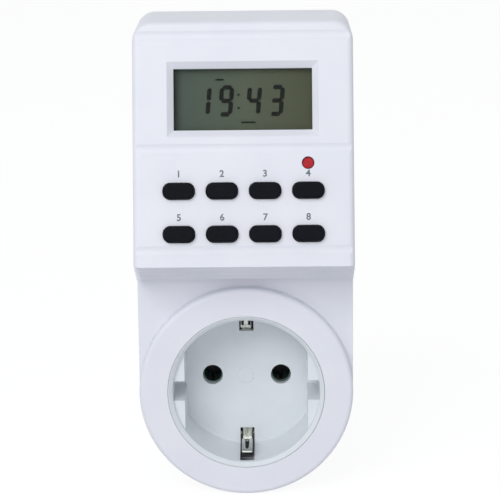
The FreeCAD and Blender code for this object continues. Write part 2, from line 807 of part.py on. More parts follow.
def earth_strap():
    reach = "earth_tongue_root + earth_strip_thickness"
    base = box("earth_base", ("-earth_base_width / 2", "earth_base_y", f"-({reach})"),
               ("earth_base_width / 2", "earth_base_y + earth_strip_thickness", reach))
    tongues = [earth_tongue("low", "-1"), earth_tongue("high", "1")]
    return node("earth_strap", fuse("earth_strap", [base] + tongues))


def plug_earth_contacts():
    strips = []
    for side, sign in (("low", "-1"), ("high", "1")):
        near, far = f"plug_earth_in * {sign}", f"plug_earth_out * {sign}"
        low, high = (far, near) if sign == "-1" else (near, far)
        strips.append(box("plug_earth_" + side,
                          ("-plug_earth_width / 2", "earth_base_y + earth_strip_thickness", low),
                          ("plug_earth_width / 2", "-plug_earth_setback - slot_gap", high)))
    return node("plug_earth_contacts", group("plug_earth_contacts", strips))


def contact_carrier():
    bar = box("carrier_bar", ("-carrier_width / 2", "carrier_y", "-carrier_height / 2"),
              ("carrier_width / 2", "carrier_back_y", "carrier_height / 2"))
    taken = []
    for side, sign in mirrored_sides():
        taken.append(cylinder("carrier_bore_" + side, (f"pin_offset * {sign}", "carrier_y - 1", "0"),
                              "sleeve_outer + slot_gap", "carrier_back_y - carrier_y + 2"))
    taken.append(box("carrier_side_notch", ("pin_offset", "carrier_y - 1", "-strip_width / 2 - slot_gap"),
                     ("pin_offset + sleeve_outer + strip_thickness + slot_gap", "carrier_back_y + 1",
                      "strip_width / 2 + slot_gap")))
    return node("contact_carrier", cut("contact_carrier", bar, taken))


def sleeve(side, sign):
    x = f"pin_offset * {sign}"
    tube = cylinder("sleeve_" + side, (x, "sleeve_front_y", "0"), "sleeve_outer", "sleeve_length")
    bore = cylinder("sleeve_bore_" + side, (x, "sleeve_front_y - 2", "0"), "sleeve_inner",
                    "sleeve_length + 4")
    slit = box("sleeve_slit_" + side,
               (f"{x} - sleeve_slit / 2", "sleeve_front_y + strip_thickness", "-sleeve_outer - 1"),
               (f"{x} + sleeve_slit / 2", "sleeve_front_y + sleeve_length + 1", "0"))
    return tube, [bore, slit]


def live_contact():
    tube, taken = sleeve("live", "-1")
    x = "-pin_offset"
    plate = box("live_plate", (f"{x} - strip_width / 2", "floor_back_y + fit_gap", "0"),
                (f"{x} + strip_width / 2", "sleeve_front_y", "live_tab_z"))
    root = cylinder("live_plate_root", (x, "floor_back_y + fit_gap", "0"), "sleeve_outer", "strip_thickness")
    tab = box("live_tab", (f"{x} - strip_width / 2", "sleeve_front_y", "live_tab_z - strip_thickness"),
              (f"{x} + strip_width / 2", "power_board_y", "live_tab_z"))
    blank = fuse("live_contact_blank", [tube, plate, root, tab])
    return node("live_contact", cut("live_contact", blank, taken))


def neutral_contact():
    tube, taken = sleeve("neutral", "1")
    outer = "pin_offset + sleeve_outer"
    strip = box("neutral_strip", (f"{outer} - strip_thickness / 2", "sleeve_front_y + 2", "-strip_width / 2"),
                (f"{outer} + strip_thickness", "pin_flange_y", "strip_width / 2"))
    foot = box("neutral_foot", ("pin_offset - strip_foot", "pin_strip_y", "-strip_foot"),
               (f"{outer} + strip_thickness", "pin_flange_y", "strip_foot"))
    hole = cylinder("neutral_foot_hole", ("pin_offset", "pin_strip_y - 1", "0"), "pin_tail_diameter / 2",
                    "strip_thickness + 2")
    blank = fuse("neutral_contact_blank", [cut("neutral_sleeve", tube, taken), strip,
                                           cut("neutral_foot_cut", foot, [hole])])
    return node("neutral_contact", blank)


# The live pin's strip climbs inside the boss and then behind the power board.
def live_feed_strip():
    x_low, x_high = "(-pin_offset + feed_shift)", "(-pin_offset + feed_shift + strip_width)"
    foot = box("feed_foot", ("-pin_offset - strip_foot", "pin_strip_y", "-strip_foot"),
               (x_high, "pin_flange_y", "strip_foot"))
    hole = cylinder("feed_hole", ("-pin_offset", "pin_strip_y - 1", "0"), "pin_tail_diameter / 2",
                    "strip_thickness + 2")
    climb = box("feed_climb", (x_low, "pin_strip_y", "0"), (x_high, "pin_flange_y", "feed_bend_z"))
    run = box("feed_run", (x_low, "feed_run_y - strip_thickness", "feed_bend_z - strip_thickness"),
              (x_high, "pin_flange_y", "feed_bend_z"))
    rise = box("feed_rise", (x_low, "feed_run_y - strip_thickness", "feed_bend_z - strip_thickness"),
               (x_high, "feed_run_y", "feed_tab_z"))
    tab = box("feed_tab", (x_low, "part_y", "feed_tab_z - strip_thickness"),
              (x_high, "feed_run_y", "feed_tab_z"))
    blank = fuse("feed_blank", [foot, climb, run, rise, tab])
    return node("live_feed_strip", cut("live_feed_strip", blank, [hole]))


def plug_pin(name, sign):
    body = new_body(name)
    profile = sketch_on(body, name + "_profile", "XY_Plane")
    polygon(profile, [
        ("0", "pin_flange_y - pin_tail_length"),
        ("pin_tail_diameter / 2", "pin_flange_y - pin_tail_length"),
        ("pin_tail_diameter / 2", "pin_flange_y"),
        ("pin_flange_diameter / 2", "pin_flange_y"),
        ("pin_flange_diameter / 2", "-boss_wall"),
        ("pin_shoulder_radius", "-boss_wall"),
        ("pin_shoulder_radius", "0"),
        ("pin_radius", "0"),
        ("pin_radius", "pin_length"),
        ("0", "pin_length"),
    ])
    turned = body.newObject("PartDesign::Revolution", name + "_turned")
    turned.Profile = profile
    turned.ReferenceAxis = (profile, ["V_Axis"])
    turned.Angle = 360
    tip = value("pin_length")
    round_edges(body, name + "_tip", "pin_tip_round",
                lambda edge: abs(edge.BoundBox.YMin - tip) < 0.01 and edge.BoundBox.XLength > 1)
    bind(body, ".Placement.Base.x", f"pin_offset * {sign}")
    return node(name, body)


def plain_screw(name, foot, shank, head, head_height, length):
    x, y, z = foot
    return fuse(name, [
        cylinder(name + "_shank", (x, f"({y}) - ({length})", z), f"{shank} / 2", length),
        cylinder(name + "_head", (x, y, z), f"{head} / 2", head_height),
    ])


# The housing screws go in from the back, their heads at the bottom of deep wells.
def housing_screws():
    screws = []
    for place, x, z in screw_places():
        seat = "part_y + screw_seat"
        name = "housing_screw_" + place
        blank = plain_screw(name, (x, seat, z), "screw_shank", "screw_head", "screw_head_height",
                            "screw_seat + screw_grip - 1")
        slots = []
        slot_foot = f"{seat} + screw_head_height - screw_slot_depth"
        for way, wide, tall in (("across", "screw_slot_length", "screw_slot_width"),
                                ("upright", "screw_slot_width", "screw_slot_length")):
            slots.append(box(f"{name}_{way}",
                             (f"{x} - {wide} / 2", slot_foot, f"{z} - {tall} / 2"),
                             (f"{x} + {wide} / 2", f"{seat} + screw_head_height + 1", f"{z} + {tall} / 2")))
        screws.append(cut(name + "_cross", blank, slots))
    return node("housing_screws", group("housing_screws", screws))


def control_board_screws():
    screws = [plain_screw("control_screw_" + place, (x, "board_back_depth", z), "board_screw_shank",
                          "board_screw_head", "board_screw_head_height", "board_screw_length")
              for place, x, z in control_post_places()]
    return node("control_board_screws", lean(group("control_board_screws", screws)))


# Driven from the front, so these are turned round: head towards -Y.
def power_board_screws():
    screws = []
    for place, x, z in power_post_places():
        name = "power_screw_" + place
        screws.append(fuse(name, [
            cylinder(name + "_shank", (x, "power_board_y", z), "board_screw_shank / 2", "board_screw_length"),
            cylinder(name + "_head", (x, "power_board_y - board_screw_head_height", z),
                     "board_screw_head / 2", "board_screw_head_height"),
        ]))
    return node("power_board_screws", group("power_board_screws", screws))


def display_window():
    pane = box("window_pane", ("-glass_width / 2", "pane_depth", "glass_low"),
               ("glass_width / 2", "pane_depth + pane_thickness", "glass_low + glass_height"))
    return node("display_window", lean(group("pane_leaned", [pane])))


def display_glass():
    glass = box("glass_cell", ("-glass_width / 2", "glass_depth", "glass_low"),
                ("glass_width / 2", "zebra_depth", "glass_low + glass_height"))
    return node("display_glass", lean(group("glass_leaned", [glass])))


def display_frame():
    rim = "(frame_wall + fit_gap)"
    outer = box("display_frame_outer", (f"-glass_width / 2 - {rim}", "pane_depth", f"glass_low - {rim}"),
                (f"glass_width / 2 + {rim}", "control_board_depth", f"glass_low + glass_height + {rim}"))
    inner = box("display_frame_inner",
                ("-glass_width / 2 - fit_gap", "pane_depth - 1", "glass_low - fit_gap"),
                ("glass_width / 2 + fit_gap", "control_board_depth + 1",
                 "glass_low + glass_height + fit_gap"))
    return node("display_frame", lean(cut("display_frame", outer, [inner])))


def zebra_strips():
    strips = []
    for side, low in (("low", "glass_low + zebra_margin"),
                      ("high", "glass_low + glass_height - zebra_margin - zebra_width")):
        strips.append(box("zebra_" + side, ("-zebra_length / 2", "zebra_depth", low),
                          ("zebra_length / 2", "control_board_depth", f"{low} + zebra_width")))
    return node("zebra_strips", lean(group("zebra_strips", strips)))


def control_board():
    plate = box("control_plate", ("-control_board_width / 2", "control_board_depth", "control_board_bottom"),
                ("control_board_width / 2", "board_back_depth", "control_board_top"))
    holes = [cylinder("control_hole_" + place, (x, "control_board_depth - 1", z),
                      "board_screw_shank / 2 + fit_gap", "board_thickness + 2")
             for place, x, z in control_post_places()]
    return node("control_board", lean(cut("control_board", plate, holes)))


def control_board_parts():
    blob = cone("blob_dome", ("blob_side", "board_back_depth", "blob_row"), "blob_diameter / 2",
                "blob_diameter / 2 - blob_height", "blob_height")
    node("processor_blob", lean(group("blob_leaned", [blob])))
    crystal = cylinder("crystal_can",
                       ("crystal_side", "board_back_depth + crystal_diameter / 2", "crystal_row"),
                       "crystal_diameter / 2", "crystal_length", "x")
    node("watch_crystal", lean(group("crystal_leaned", [crystal])))
    cell = cylinder("cell_can", ("-cell_side", "board_back_depth", "cell_row"),
                    "cell_diameter / 2", "cell_thickness")
    node("backup_cell", lean(group("cell_leaned", [cell])))
    half = "reset_switch_size / 2"
    switch = box("switch_case", (f"reset_side - {half}", "reset_switch_depth", f"reset_height - {half}"),
                 (f"reset_side + {half}", "control_board_depth", f"reset_height + {half}"))
    node("reset_switch", lean(group("switch_leaned", [switch])))


def keypad_mat():
    sheet_of_rubber = box("mat_sheet", ("-mat_width / 2", "mat_depth", "mat_bottom"),
                          ("mat_width / 2", "control_board_depth", "mat_top"))
    pad_across = "(key_stem_width / 2 + mat_pad_margin)"
    pad_up = "(key_stem_height / 2 + mat_pad_margin)"
    pads = [box("mat_pad_" + name, (f"{x} - {pad_across}", "mat_depth - mat_pad_height", f"{z} - {pad_up}"),
                (f"{x} + {pad_across}", "mat_depth + mat_thickness / 2", f"{z} + {pad_up}"))
            for name, x, z in key_places()]
    return node("keypad_mat", lean(fuse("keypad_mat", [sheet_of_rubber] + pads)))


# A key is made about its own middle on the face's plane, and carried to its place in the rows.
def key(name, x, z):
    body = new_body(name)
    cap = sketch_on(body, name + "_cap", "XZ_Plane", "-key_flange_depth")
    rounded_rectangle(cap, "0", "0", "key_width", "key_height", "key_corner")
    pad(body, name + "_cap_pad", cap, "key_flange_depth + key_proud")
    crown = value("-key_proud")
    round_edges(body, name + "_crown", "key_crown",
                lambda edge: abs(edge.BoundBox.YMin - crown) < 0.01 and edge.BoundBox.YLength < 0.01)
    flange = sketch_on(body, name + "_flange", "XZ_Plane", "-key_flange_depth - key_flange_thickness")
    rounded_rectangle(flange, "0", "0", "key_width + key_flange * 2", "key_height + key_flange * 2",
                      "(key_corner + key_flange)")
    pad(body, name + "_flange_pad", flange, "key_flange_thickness")
    stem = sketch_on(body, name + "_stem", "XZ_Plane", "-key_stem_depth")
    centred_rectangle(stem, "0", "0", "key_stem_width", "key_stem_height")
    pad(body, name + "_stem_pad", stem, "key_stem_depth - key_flange_depth")
    body.Placement = Placement(Vector(), Rotation(Vector(1, 0, 0), 1))
    bind(body, ".Placement.Base.x", x)
    bind(body, ".Placement.Base.y", f"head_y + {z} * sin(face_lean)")
    bind(body, ".Placement.Base.z", f"head_bottom + {z} * cos(face_lean)")
    bind(body, ".Placement.Rotation.Angle", "-face_lean")
    return node(name, body)


def reset_plunger():
    foot_y = "reset_setback"
    cap = cylinder("reset_cap", ("reset_side", foot_y, "reset_height"), "reset_diameter / 2",
                   "key_flange_depth - reset_setback")
    flange = cylinder("reset_flange", ("reset_side", "key_flange_depth", "reset_height"),
                      "reset_diameter / 2 + reset_flange", "key_flange_thickness")
    stem = cylinder("reset_stem", ("reset_side", "key_flange_depth", "reset_height"), "reset_stem / 2",
                    "reset_stem_depth - key_flange_depth")
    return node("reset_plunger", lean(fuse("reset_plunger", [cap, flange, stem])))


def power_board():
    plate = box("power_plate", ("-power_board_width / 2", "power_board_y", "power_board_bottom"),
                ("power_board_width / 2", "part_y", "power_board_top"))
    holes = [cylinder("power_hole_" + place, (x, "power_board_y - 1", z), "board_screw_shank / 2 + fit_gap",
                      "board_thickness + 2")
             for place, x, z in power_post_places()]
    return node("power_board", cut("power_board", plate, holes))


# The parts on the power board, each with its foot on the board's front.
def power_board_parts():
    node("relay", box("relay", ("-relay_side", "power_board_y - relay_height", "relay_low"),
                      ("relay_length - relay_side", "power_board_y", "relay_low + relay_width")))
    node("dropper_capacitor", box("dropper_capacitor",
                                  ("dropper_side", "power_board_y - dropper_height", "dropper_low"),
                                  ("dropper_side + dropper_length", "power_board_y", "dropper_high")))
    node("smoothing_capacitor", cylinder("smoothing_capacitor",
                                         ("smoothing_side", "power_board_y - smoothing_height",
                                          "dropper_high + smoothing_diameter / 2 + smoothing_gap"),
                                         "smoothing_diameter / 2", "smoothing_height"))
    diodes = [cylinder(f"diode_{number}",
                       ("-diode_side", "power_board_y - diode_diameter / 2",
                        f"power_board_top - diode_drop - diode_pitch * {number}"),
                       "diode_diameter / 2", "diode_length", "x") for number in range(4)]
    node("rectifier_diodes", group("rectifier_diodes", diodes))
    node("fusible_resistor", cylinder("fusible_resistor",
                                      ("-resistor_side", "power_board_y - resistor_diameter / 2",
                                       "power_board_bottom + resistor_rise"),
                                      "resistor_diameter / 2", "resistor_length", "x"))


# A flat cable between the boards, seen from the side as a strip with two bends.
def ribbon_cable():
    body = new_body("ribbon_cable")
    profile = sketch_on(body, "ribbon_profile", "YZ_Plane")
    polygon(profile, [
        ("power_board_y", "ribbon_low"),
        ("ribbon_mid_y", "ribbon_low"),
        ("ribbon_mid_y - ribbon_climb", "ribbon_high"),
        ("ribbon_end_y", "ribbon_high"),
        ("ribbon_end_y", "ribbon_high + ribbon_thickness"),
        ("ribbon_mid_y - ribbon_climb", "ribbon_high + ribbon_thickness"),
        ("ribbon_mid_y", "ribbon_low + ribbon_thickness"),
        ("power_board_y", "ribbon_low + ribbon_thickness"),
    ])
    pad(body, "ribbon_pad", profile, "ribbon_width", both=True)
    bind(body, ".Placement.Base.x", "-power_board_width / 2 + ribbon_width / 2 + ribbon_inset")
    return node("ribbon_cable", body)


def build():
    front_housing()
    rear_housing()
    socket_insert()
    contact_carrier()
    live_contact()
    neutral_contact()
    live_feed_strip()
    plug_pin("live_pin", "-1")
    plug_pin("neutral_pin", "1")
    earth_strap()
    plug_earth_contacts()
    housing_screws()
    display_window()
    display_frame()
    display_glass()
    zebra_strips()
    control_board()
    control_board_parts()
    control_board_screws()
    keypad_mat()
    for name, x, z in key_places():
        key(name, x, z)
    reset_plunger()
    power_board()
    power_board_parts()
    power_board_screws()
    ribbon_cable()
    document.recompute()


def check():
    for thing in document.Objects:
        if "Invalid" in thing.State or "Error" in thing.State:
            raise RuntimeError(f"{thing.Name} is {thing.State}")
    for thing in nodes:
        if thing.Shape.isNull() or not thing.Shape.isValid() or not thing.Shape.Solids:
            raise RuntimeError(f"{thing.Label} has no valid solid")


build()
check()
os.makedirs("parts", exist_ok=True)
for thing in nodes:
    thing.Shape.exportStep(f"parts/{thing.Label}.step")
    print(f"{thing.Label}: {len(thing.Shape.Solids)} solids, {thing.Shape.Volume:.1f} mm3")
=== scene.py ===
import math

import bmesh
import bpy
from mathutils import Matrix, Vector

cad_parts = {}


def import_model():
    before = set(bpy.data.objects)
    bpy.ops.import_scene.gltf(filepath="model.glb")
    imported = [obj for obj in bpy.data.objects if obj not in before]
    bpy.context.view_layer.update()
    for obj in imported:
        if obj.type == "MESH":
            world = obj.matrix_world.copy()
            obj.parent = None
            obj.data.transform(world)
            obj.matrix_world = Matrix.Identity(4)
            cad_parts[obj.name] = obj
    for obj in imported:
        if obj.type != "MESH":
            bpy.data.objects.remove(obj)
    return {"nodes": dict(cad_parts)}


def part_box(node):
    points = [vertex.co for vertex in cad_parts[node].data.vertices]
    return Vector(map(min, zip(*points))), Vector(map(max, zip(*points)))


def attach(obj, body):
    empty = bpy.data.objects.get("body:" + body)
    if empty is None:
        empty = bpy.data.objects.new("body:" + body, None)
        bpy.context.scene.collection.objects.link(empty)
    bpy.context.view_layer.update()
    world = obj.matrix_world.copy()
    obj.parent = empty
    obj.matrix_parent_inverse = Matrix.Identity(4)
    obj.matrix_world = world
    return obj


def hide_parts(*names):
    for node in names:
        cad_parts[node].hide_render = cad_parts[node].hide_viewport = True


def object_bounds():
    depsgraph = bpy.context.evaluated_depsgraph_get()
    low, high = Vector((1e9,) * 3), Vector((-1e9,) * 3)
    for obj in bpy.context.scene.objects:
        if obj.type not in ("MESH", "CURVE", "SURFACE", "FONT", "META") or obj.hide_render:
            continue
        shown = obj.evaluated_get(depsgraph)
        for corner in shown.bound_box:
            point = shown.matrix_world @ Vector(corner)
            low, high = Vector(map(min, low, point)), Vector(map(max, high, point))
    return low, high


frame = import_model()
cad_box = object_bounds()

MM = 0.001
SAME_PLACE = 0.001 * MM

# The face leans back about its bottom front edge, and its own axes are u across, v up and depth in.
FACE_LEAN = math.radians(14.8)
HEAD_BOTTOM = 38.0 * MM
HEAD_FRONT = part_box("front_housing")[0].y

# The display's digits. Their places are in the face's own axes.
DIGIT_MIDDLES = [-10.35 * MM, -4.43 * MM, 2.9 * MM, 8.9 * MM]
DIGITS_MIDDLE_V = 43.9 * MM
DIGIT_WIDTH = 2.65 * MM
DIGIT_HEIGHT = 7.1 * MM
BAR_WIDTH = 1.2 * MM
BAR_GAP = 0.15 * MM
DIGIT_SLANT = 0.09
CELL_DEPTH = 3.5 * MM
MARK_THICKNESS = 0.03 * MM
READING = "1943"

# Bars of a digit run from a at the top round by the right to f, with g in the middle. Each has its
# place from the digit's middle, in half widths and half heights.
LEVEL_BARS = {"a": (0, 1), "g": (0, 0), "d": (0, -1)}
UPRIGHT_BARS = {"b": (1, 0.5), "c": (1, -0.5), "f": (-1, 0.5)}
LIT_BARS = {"1": "bc", "3": "abcdg", "4": "bcfg", "9": "abcdfg"}
BAR_SHOULDER = 0.39

# Marks on the display. A stroke is its middle's u and v, its length and its width.
COLON_U = -1.15 * MM
COLON_ROWS = [45.5 * MM, 42.0 * MM]
COLON_RADIUS = 0.33 * MM
COLON_SIDES = 20
STROKES = [(-6.1 * MM, 49.5 * MM, 2.2 * MM, 0.5 * MM), (1.4 * MM, 38.2 * MM, 3.8 * MM, 0.5 * MM)]

# Numerals printed over the keys.
KEY_COLUMNS = [-16.95 * MM, -5.65 * MM, 5.65 * MM, 16.95 * MM]
NUMERAL_ROWS = [24.6 * MM, 13.2 * MM]
NUMERAL_HEIGHT = 1.8 * MM
NUMERAL_SHARE_OF_SIZE = 0.73
NUMERAL_FATTENING = 0.05 * MM

# Earth strap, in millimetres: rows of (y, distance from the socket's axis) from a tongue's tip to its
# root, then rows of (y, z) behind the well. A slit parts each tongue into two legs.
TONGUE_ROWS = [(-44.5, 18.0), (-43.2, 17.45), (-41.2, 16.85), (-39.6, 16.6), (-38.2, 16.55), (-36.8, 16.75),
               (-34.6, 17.6), (-31.8, 18.8), (-29.6, 19.75), (-27.9, 20.0), (-27.5, 19.2)]
STRAP_BACK_ROWS = [(-27.5, -10.0), (-27.5, 0.0), (-27.5, 10.0)]
STRAP_COLUMNS = [-1.5, -0.95, -0.5, 0.5, 0.95, 1.5]
STRAP_THICKNESS = 0.7 * MM
SLIT_COLUMN = 2
SLIT_ROWS = range(1, 7)
STRAP_ROUNDING = 2

# Gate mark on the floor of the well. As deep in the floor as it stands proud.
WELL_FLOOR = -30.0 * MM
GATE_MIDDLE = Vector((-0.3 * MM, WELL_FLOOR, -0.15 * MM))
GATE_RADIUS = 2.5 * MM
GATE_PROUD = 0.12 * MM
GATE_SIDES = 48

# Camera, as fitted to the photograph.
PICTURE_WIDTH = 500
FOCAL_PIXELS = 2120
SENSOR_WIDTH = 36
CAMERA_PLACE = Vector((7.3, -597.5, 168.7)) * MM
CAMERA_PITCH = math.radians(13.20)
CAMERA_YAW = math.radians(-0.61)
CAMERA_ROLL = math.radians(-0.64)
CLIP_NEAR = 0.01
CLIP_FAR = 50

# Light and floor.
WORLD_LEVEL = 0.55
LIGHT_TARGET = Vector((0.0, -0.045, 0.03))
KEY_LIGHT = {"place": Vector((-0.38, -1.0, 0.8)), "side": 0.7, "watts": 7.0}
FILL_LIGHT = {"place": Vector((0.1, -1.3, -0.1)), "side": 0.8, "watts": 2.4}
FLOOR_SIDE = 8.0
FLOOR_GLOW = 0.9
FLOOR_SHADOW_TONE = 0.14
PAPER_FIBRE = 4 * MM

# Finishes. Most of a noise texture's values lie between its low and its high. Painted edge highlight
# and shade are told by the cosine between a corner's flat and rounded normals.
NOISE_LOW = 0.3
NOISE_HIGH = 0.7
CLOUD_DETAIL = 3.0
GRAIN_DETAIL = 2.0
EDGE_SAMPLES = 4
FULLY_EDGE_PAINTED = 0.7
EDGE_UNPAINTED = 0.98
CELL_HALF_WIDTH = 18 * MM
TRACK_PITCH = 1.5 * MM
TRACK_DISORDER = 0.35
RESISTOR_BANDS = 5.0
RIBBON_CORE_PITCH = 1 * MM


def linear(hex_code):
    channels = [int(hex_code[start:start + 2], 16) / 255 for start in (1, 3, 5)]
    return [c / 12.92 if c <= 0.04045 else ((c + 0.055) / 1.055) ** 2.4 for c in channels] + [1.0]


def add(tree, kind, values=None, links=None, **settings):
    node = tree.nodes.new(kind)
    for name, setting in settings.items():
        setattr(node, name, setting)
    for socket, number in (values or {}).items():
        node.inputs[socket].default_value = number
    for socket, source in (links or {}).items():
        tree.links.new(source, node.inputs[socket])
    return node


def tones(tree, source, *stops):
    ramp = add(tree, "ShaderNodeValToRGB", links={"Fac": source})
    while len(ramp.color_ramp.elements) < len(stops):
        ramp.color_ramp.elements.new(1.0)
    for element, (place, colour) in zip(ramp.color_ramp.elements, stops):
        element.position = place
        element.color = linear(colour)
    return ramp.outputs["Color"]


def x_of(tree, place):
    return add(tree, "ShaderNodeSeparateXYZ", links={"Vector": place}).outputs["X"]


# How far along its own repeat a place lies, from 0 to 1.
def share_of_repeat(tree, along, repeats):
    wave = add(tree, "ShaderNodeMath", {1: repeats}, {0: along}, operation="MULTIPLY")
    return add(tree, "ShaderNodeMath", links={0: wave.outputs["Value"]}, operation="FRACT").outputs["Value"]


def new_material(name):
    material = bpy.data.materials.new(name)
    material.use_nodes = True
    material.node_tree.nodes.clear()
    return material


# A tone that drifts between two colours, in clouds whose size is in millimetres.
def mottled(colour, shade, cloud):
    def tone(tree, place):
        drift = add(tree, "ShaderNodeTexNoise", {"Scale": 1 / (cloud * MM), "Detail": CLOUD_DETAIL},
                    {"Vector": place})
        return tones(tree, drift.outputs["Fac"], (NOISE_LOW, shade), (NOISE_HIGH, colour))
    return tone


# A tone with a fine grain in its relief and gloss. Grain, relief and edge are in millimetres, and the
# gloss is the least and most roughness. The stretch draws the grain out along an axis, as brushing,
# turning or drawing does. The edge is the radius over which a corner looks rounded, and the edge colour
# painted there is a painted highlight where it is lighter and painted shade where it is darker.
def surface(name, tone, grain, relief, gloss, stretch=(1, 1, 1), edge=0.0, edge_light_and_shade=None, **sockets):
    material = new_material(name)
    tree = material.node_tree
    place = add(tree, "ShaderNodeTexCoord").outputs["Object"]
    drawn = add(tree, "ShaderNodeMapping", {"Scale": stretch}, {"Vector": place}).outputs["Vector"]
    grit = add(tree, "ShaderNodeTexNoise", {"Scale": 1 / (grain * MM), "Detail": GRAIN_DETAIL},
               {"Vector": drawn})
    paint = tone(tree, place)
    rough = add(tree, "ShaderNodeMapRange", {"From Min": NOISE_LOW, "From Max": NOISE_HIGH,
                                             "To Min": gloss[0], "To Max": gloss[1]},
                {"Value": grit.outputs["Fac"]})
    bump = add(tree, "ShaderNodeBump", {"Strength": 1.0, "Distance": relief * MM},
               {"Height": grit.outputs["Fac"]})
    if edge:
        soft = add(tree, "ShaderNodeBevel", {"Radius": edge * MM}, samples=EDGE_SAMPLES)
        tree.links.new(soft.outputs["Normal"], bump.inputs["Normal"])
    # Rounded edges take the given edge colour: painted highlight where it is lighter, painted shade where
    # darker.
    if edge_light_and_shade:
        flat = add(tree, "ShaderNodeNewGeometry").outputs["Normal"]
        turned = add(tree, "ShaderNodeVectorMath", links={0: soft.outputs["Normal"], 1: flat},
                     operation="DOT_PRODUCT")
        painted_edge_share = add(tree, "ShaderNodeMapRange", {"From Min": FULLY_EDGE_PAINTED, "From Max": EDGE_UNPAINTED,
                                                  "To Min": 1.0, "To Max": 0.0},
                     {"Value": turned.outputs["Value"]})
        paint = add(tree, "ShaderNodeMixRGB", {"Color2": linear(edge_light_and_shade)},
                    {"Fac": painted_edge_share.outputs["Result"], "Color1": paint}).outputs["Color"]
    shader = add(tree, "ShaderNodeBsdfPrincipled", {key.replace("_", " "): v for key, v in sockets.items()},
                 {"Base Color": paint, "Roughness": rough.outputs["Result"],
                  "Normal": bump.outputs["Normal"]})
    add(tree, "ShaderNodeOutputMaterial", links={"Surface": shader.outputs["BSDF"]})
    return material


# Moulded in a spark-eroded tool: an even satin with barely seen flow clouds. Its rounded edges are
# painted lighter, a painted highlight.
def white_abs():
    return surface("white_moulded_abs", mottled("#E8E9EF", "#E3E5EC", 16), 0.35, 0.012, (0.4, 0.52),
                   edge=0.25, edge_light_and_shade="#EFF0F4", IOR=1.53)


# Polyamide, a shade greyer and glossier than the housing, from a polished tool.
def white_polyamide():
    return surface("white_moulded_polyamide", mottled("#E6EAED", "#DFE4E8", 11), 0.5, 0.008,
                   (0.3, 0.42), edge=0.2, IOR=1.53)


# Black keys: moulded, handled, so the gloss changes more than the colour. Their rounded edges are
# painted lighter, a painted highlight.
def black_abs():
    return surface("black_moulded_abs", mottled("#0A0F16", "#070B10", 3), 0.3, 0.012, (0.34, 0.5),
                   edge=0.35, edge_light_and_shade="#2E3740", IOR=1.53, Specular_IOR_Level=0.06)


# Coloured through and polished. Its rim is painted dark: painted shade from its opening.
def red_abs():
    return surface("red_moulded_abs", mottled("#BF1F28", "#A81A23", 2), 0.3, 0.008, (0.3, 0.42),
                   edge=0.3, edge_light_and_shade="#5E1218", IOR=1.53, Specular_IOR_Level=0.2)


# A clear pane shows what lies behind it, with a weak gloss and a faint unevenness.
def clear_polycarbonate():
    return surface("clear_moulded_polycarbonate", mottled("#4E554C", "#464D45", 9), 1.2, 0.002,
                   (0.04, 0.12), IOR=1.58, Alpha=0.05)


# The cell's tone goes from a painted shadow along its left edge, where the frame's shade falls, through
# green grey to olive on its right.
def cell_tone(tree, place):
    across = add(tree, "ShaderNodeMapRange", {"From Min": -CELL_HALF_WIDTH, "From Max": CELL_HALF_WIDTH},
                 {"Value": x_of(tree, place)})
    return tones(tree, across.outputs["Result"], (0.0, "#2E342E"), (0.06, "#4D5A50"), (0.5, "#57604F"),
                 (0.95, "#505540"))


# Polarising film over glass: matt, flat and dull green.
def liquid_crystal():
    return surface("liquid_crystal_cell", cell_tone, 0.25, 0.003, (0.45, 0.55), IOR=1.5,
                   Specular_IOR_Level=0.12)


# A switched-on bar is as dark as the film lets it be.
def liquid_crystal_bar():
    return surface("switched_on_bar", mottled("#0E110E", "#0A0C0A", 2), 0.3, 0.002, (0.5, 0.6), IOR=1.5,
                   Specular_IOR_Level=0.08)


# Pad-printed ink, thin and a little uneven over the moulded grain.
def grey_ink():
    return surface("grey_pad_printing_ink", mottled("#6B727D", "#7C838D", 0.6), 0.3, 0.008, (0.5, 0.65),
                   IOR=1.5)


# Bright nickel on pressed brass, drawn along the strip.
def nickel_strip():
    return surface("nickel_plated_strip", mottled("#C9CCC6", "#B4B8B2", 3), 0.25, 0.004, (0.2, 0.36),
                   stretch=(1, 0.12, 0.12), edge=0.1, Metallic=1.0)


# Turned pins under nickel: rings too fine to see one by one, so they are drawn 0.2 mm apart.
def nickel_pin():
    return surface("nickel_plated_turned_pin", mottled("#CDCAC2", "#BDB9AF", 4), 0.2, 0.004,
                   (0.18, 0.32), stretch=(0.08, 1, 0.08), edge=0.1, Metallic=1.0)


# Spring bronze strip, rolled and tinned, painted a dull grey green darker than bare tin: painted shade
# for the well's pin holes, where the strip is seen.
def spring_bronze():
    return surface("tinned_spring_bronze", mottled("#6F8581", "#5A716D", 4), 0.25, 0.004, (0.45, 0.6),
                   stretch=(1, 0.15, 1), Metallic=1.0)


# Zinc-plated and passivated screw steel, with a faint blue bloom.
def zinc_steel():
    return surface("zinc_plated_screw_steel", mottled("#A9ADB3", "#8C9198", 1.2), 0.2, 0.006,
                   (0.25, 0.42), Metallic=1.0)


# Phenolic moulding for live parts: brown-black and matt.
def phenolic():
    return surface("brown_moulded_phenolic", mottled("#3A2A20", "#2C2019", 5), 0.3, 0.02, (0.5, 0.66),
                   IOR=1.6)


# Conductive rubber in thin layers, matt and dark grey.
def conductive_rubber():
    return surface("layered_conductive_rubber", mottled("#33363A", "#24272A", 0.4), 0.2, 0.01,
                   (0.65, 0.8), stretch=(3, 0.3, 0.3), IOR=1.45)


# Silicone rubber, moulded matt and grey.
def silicone_rubber():
    return surface("grey_silicone_rubber", mottled("#A7ABAF", "#9A9FA4", 6), 0.4, 0.015, (0.55, 0.7),
                   IOR=1.41)


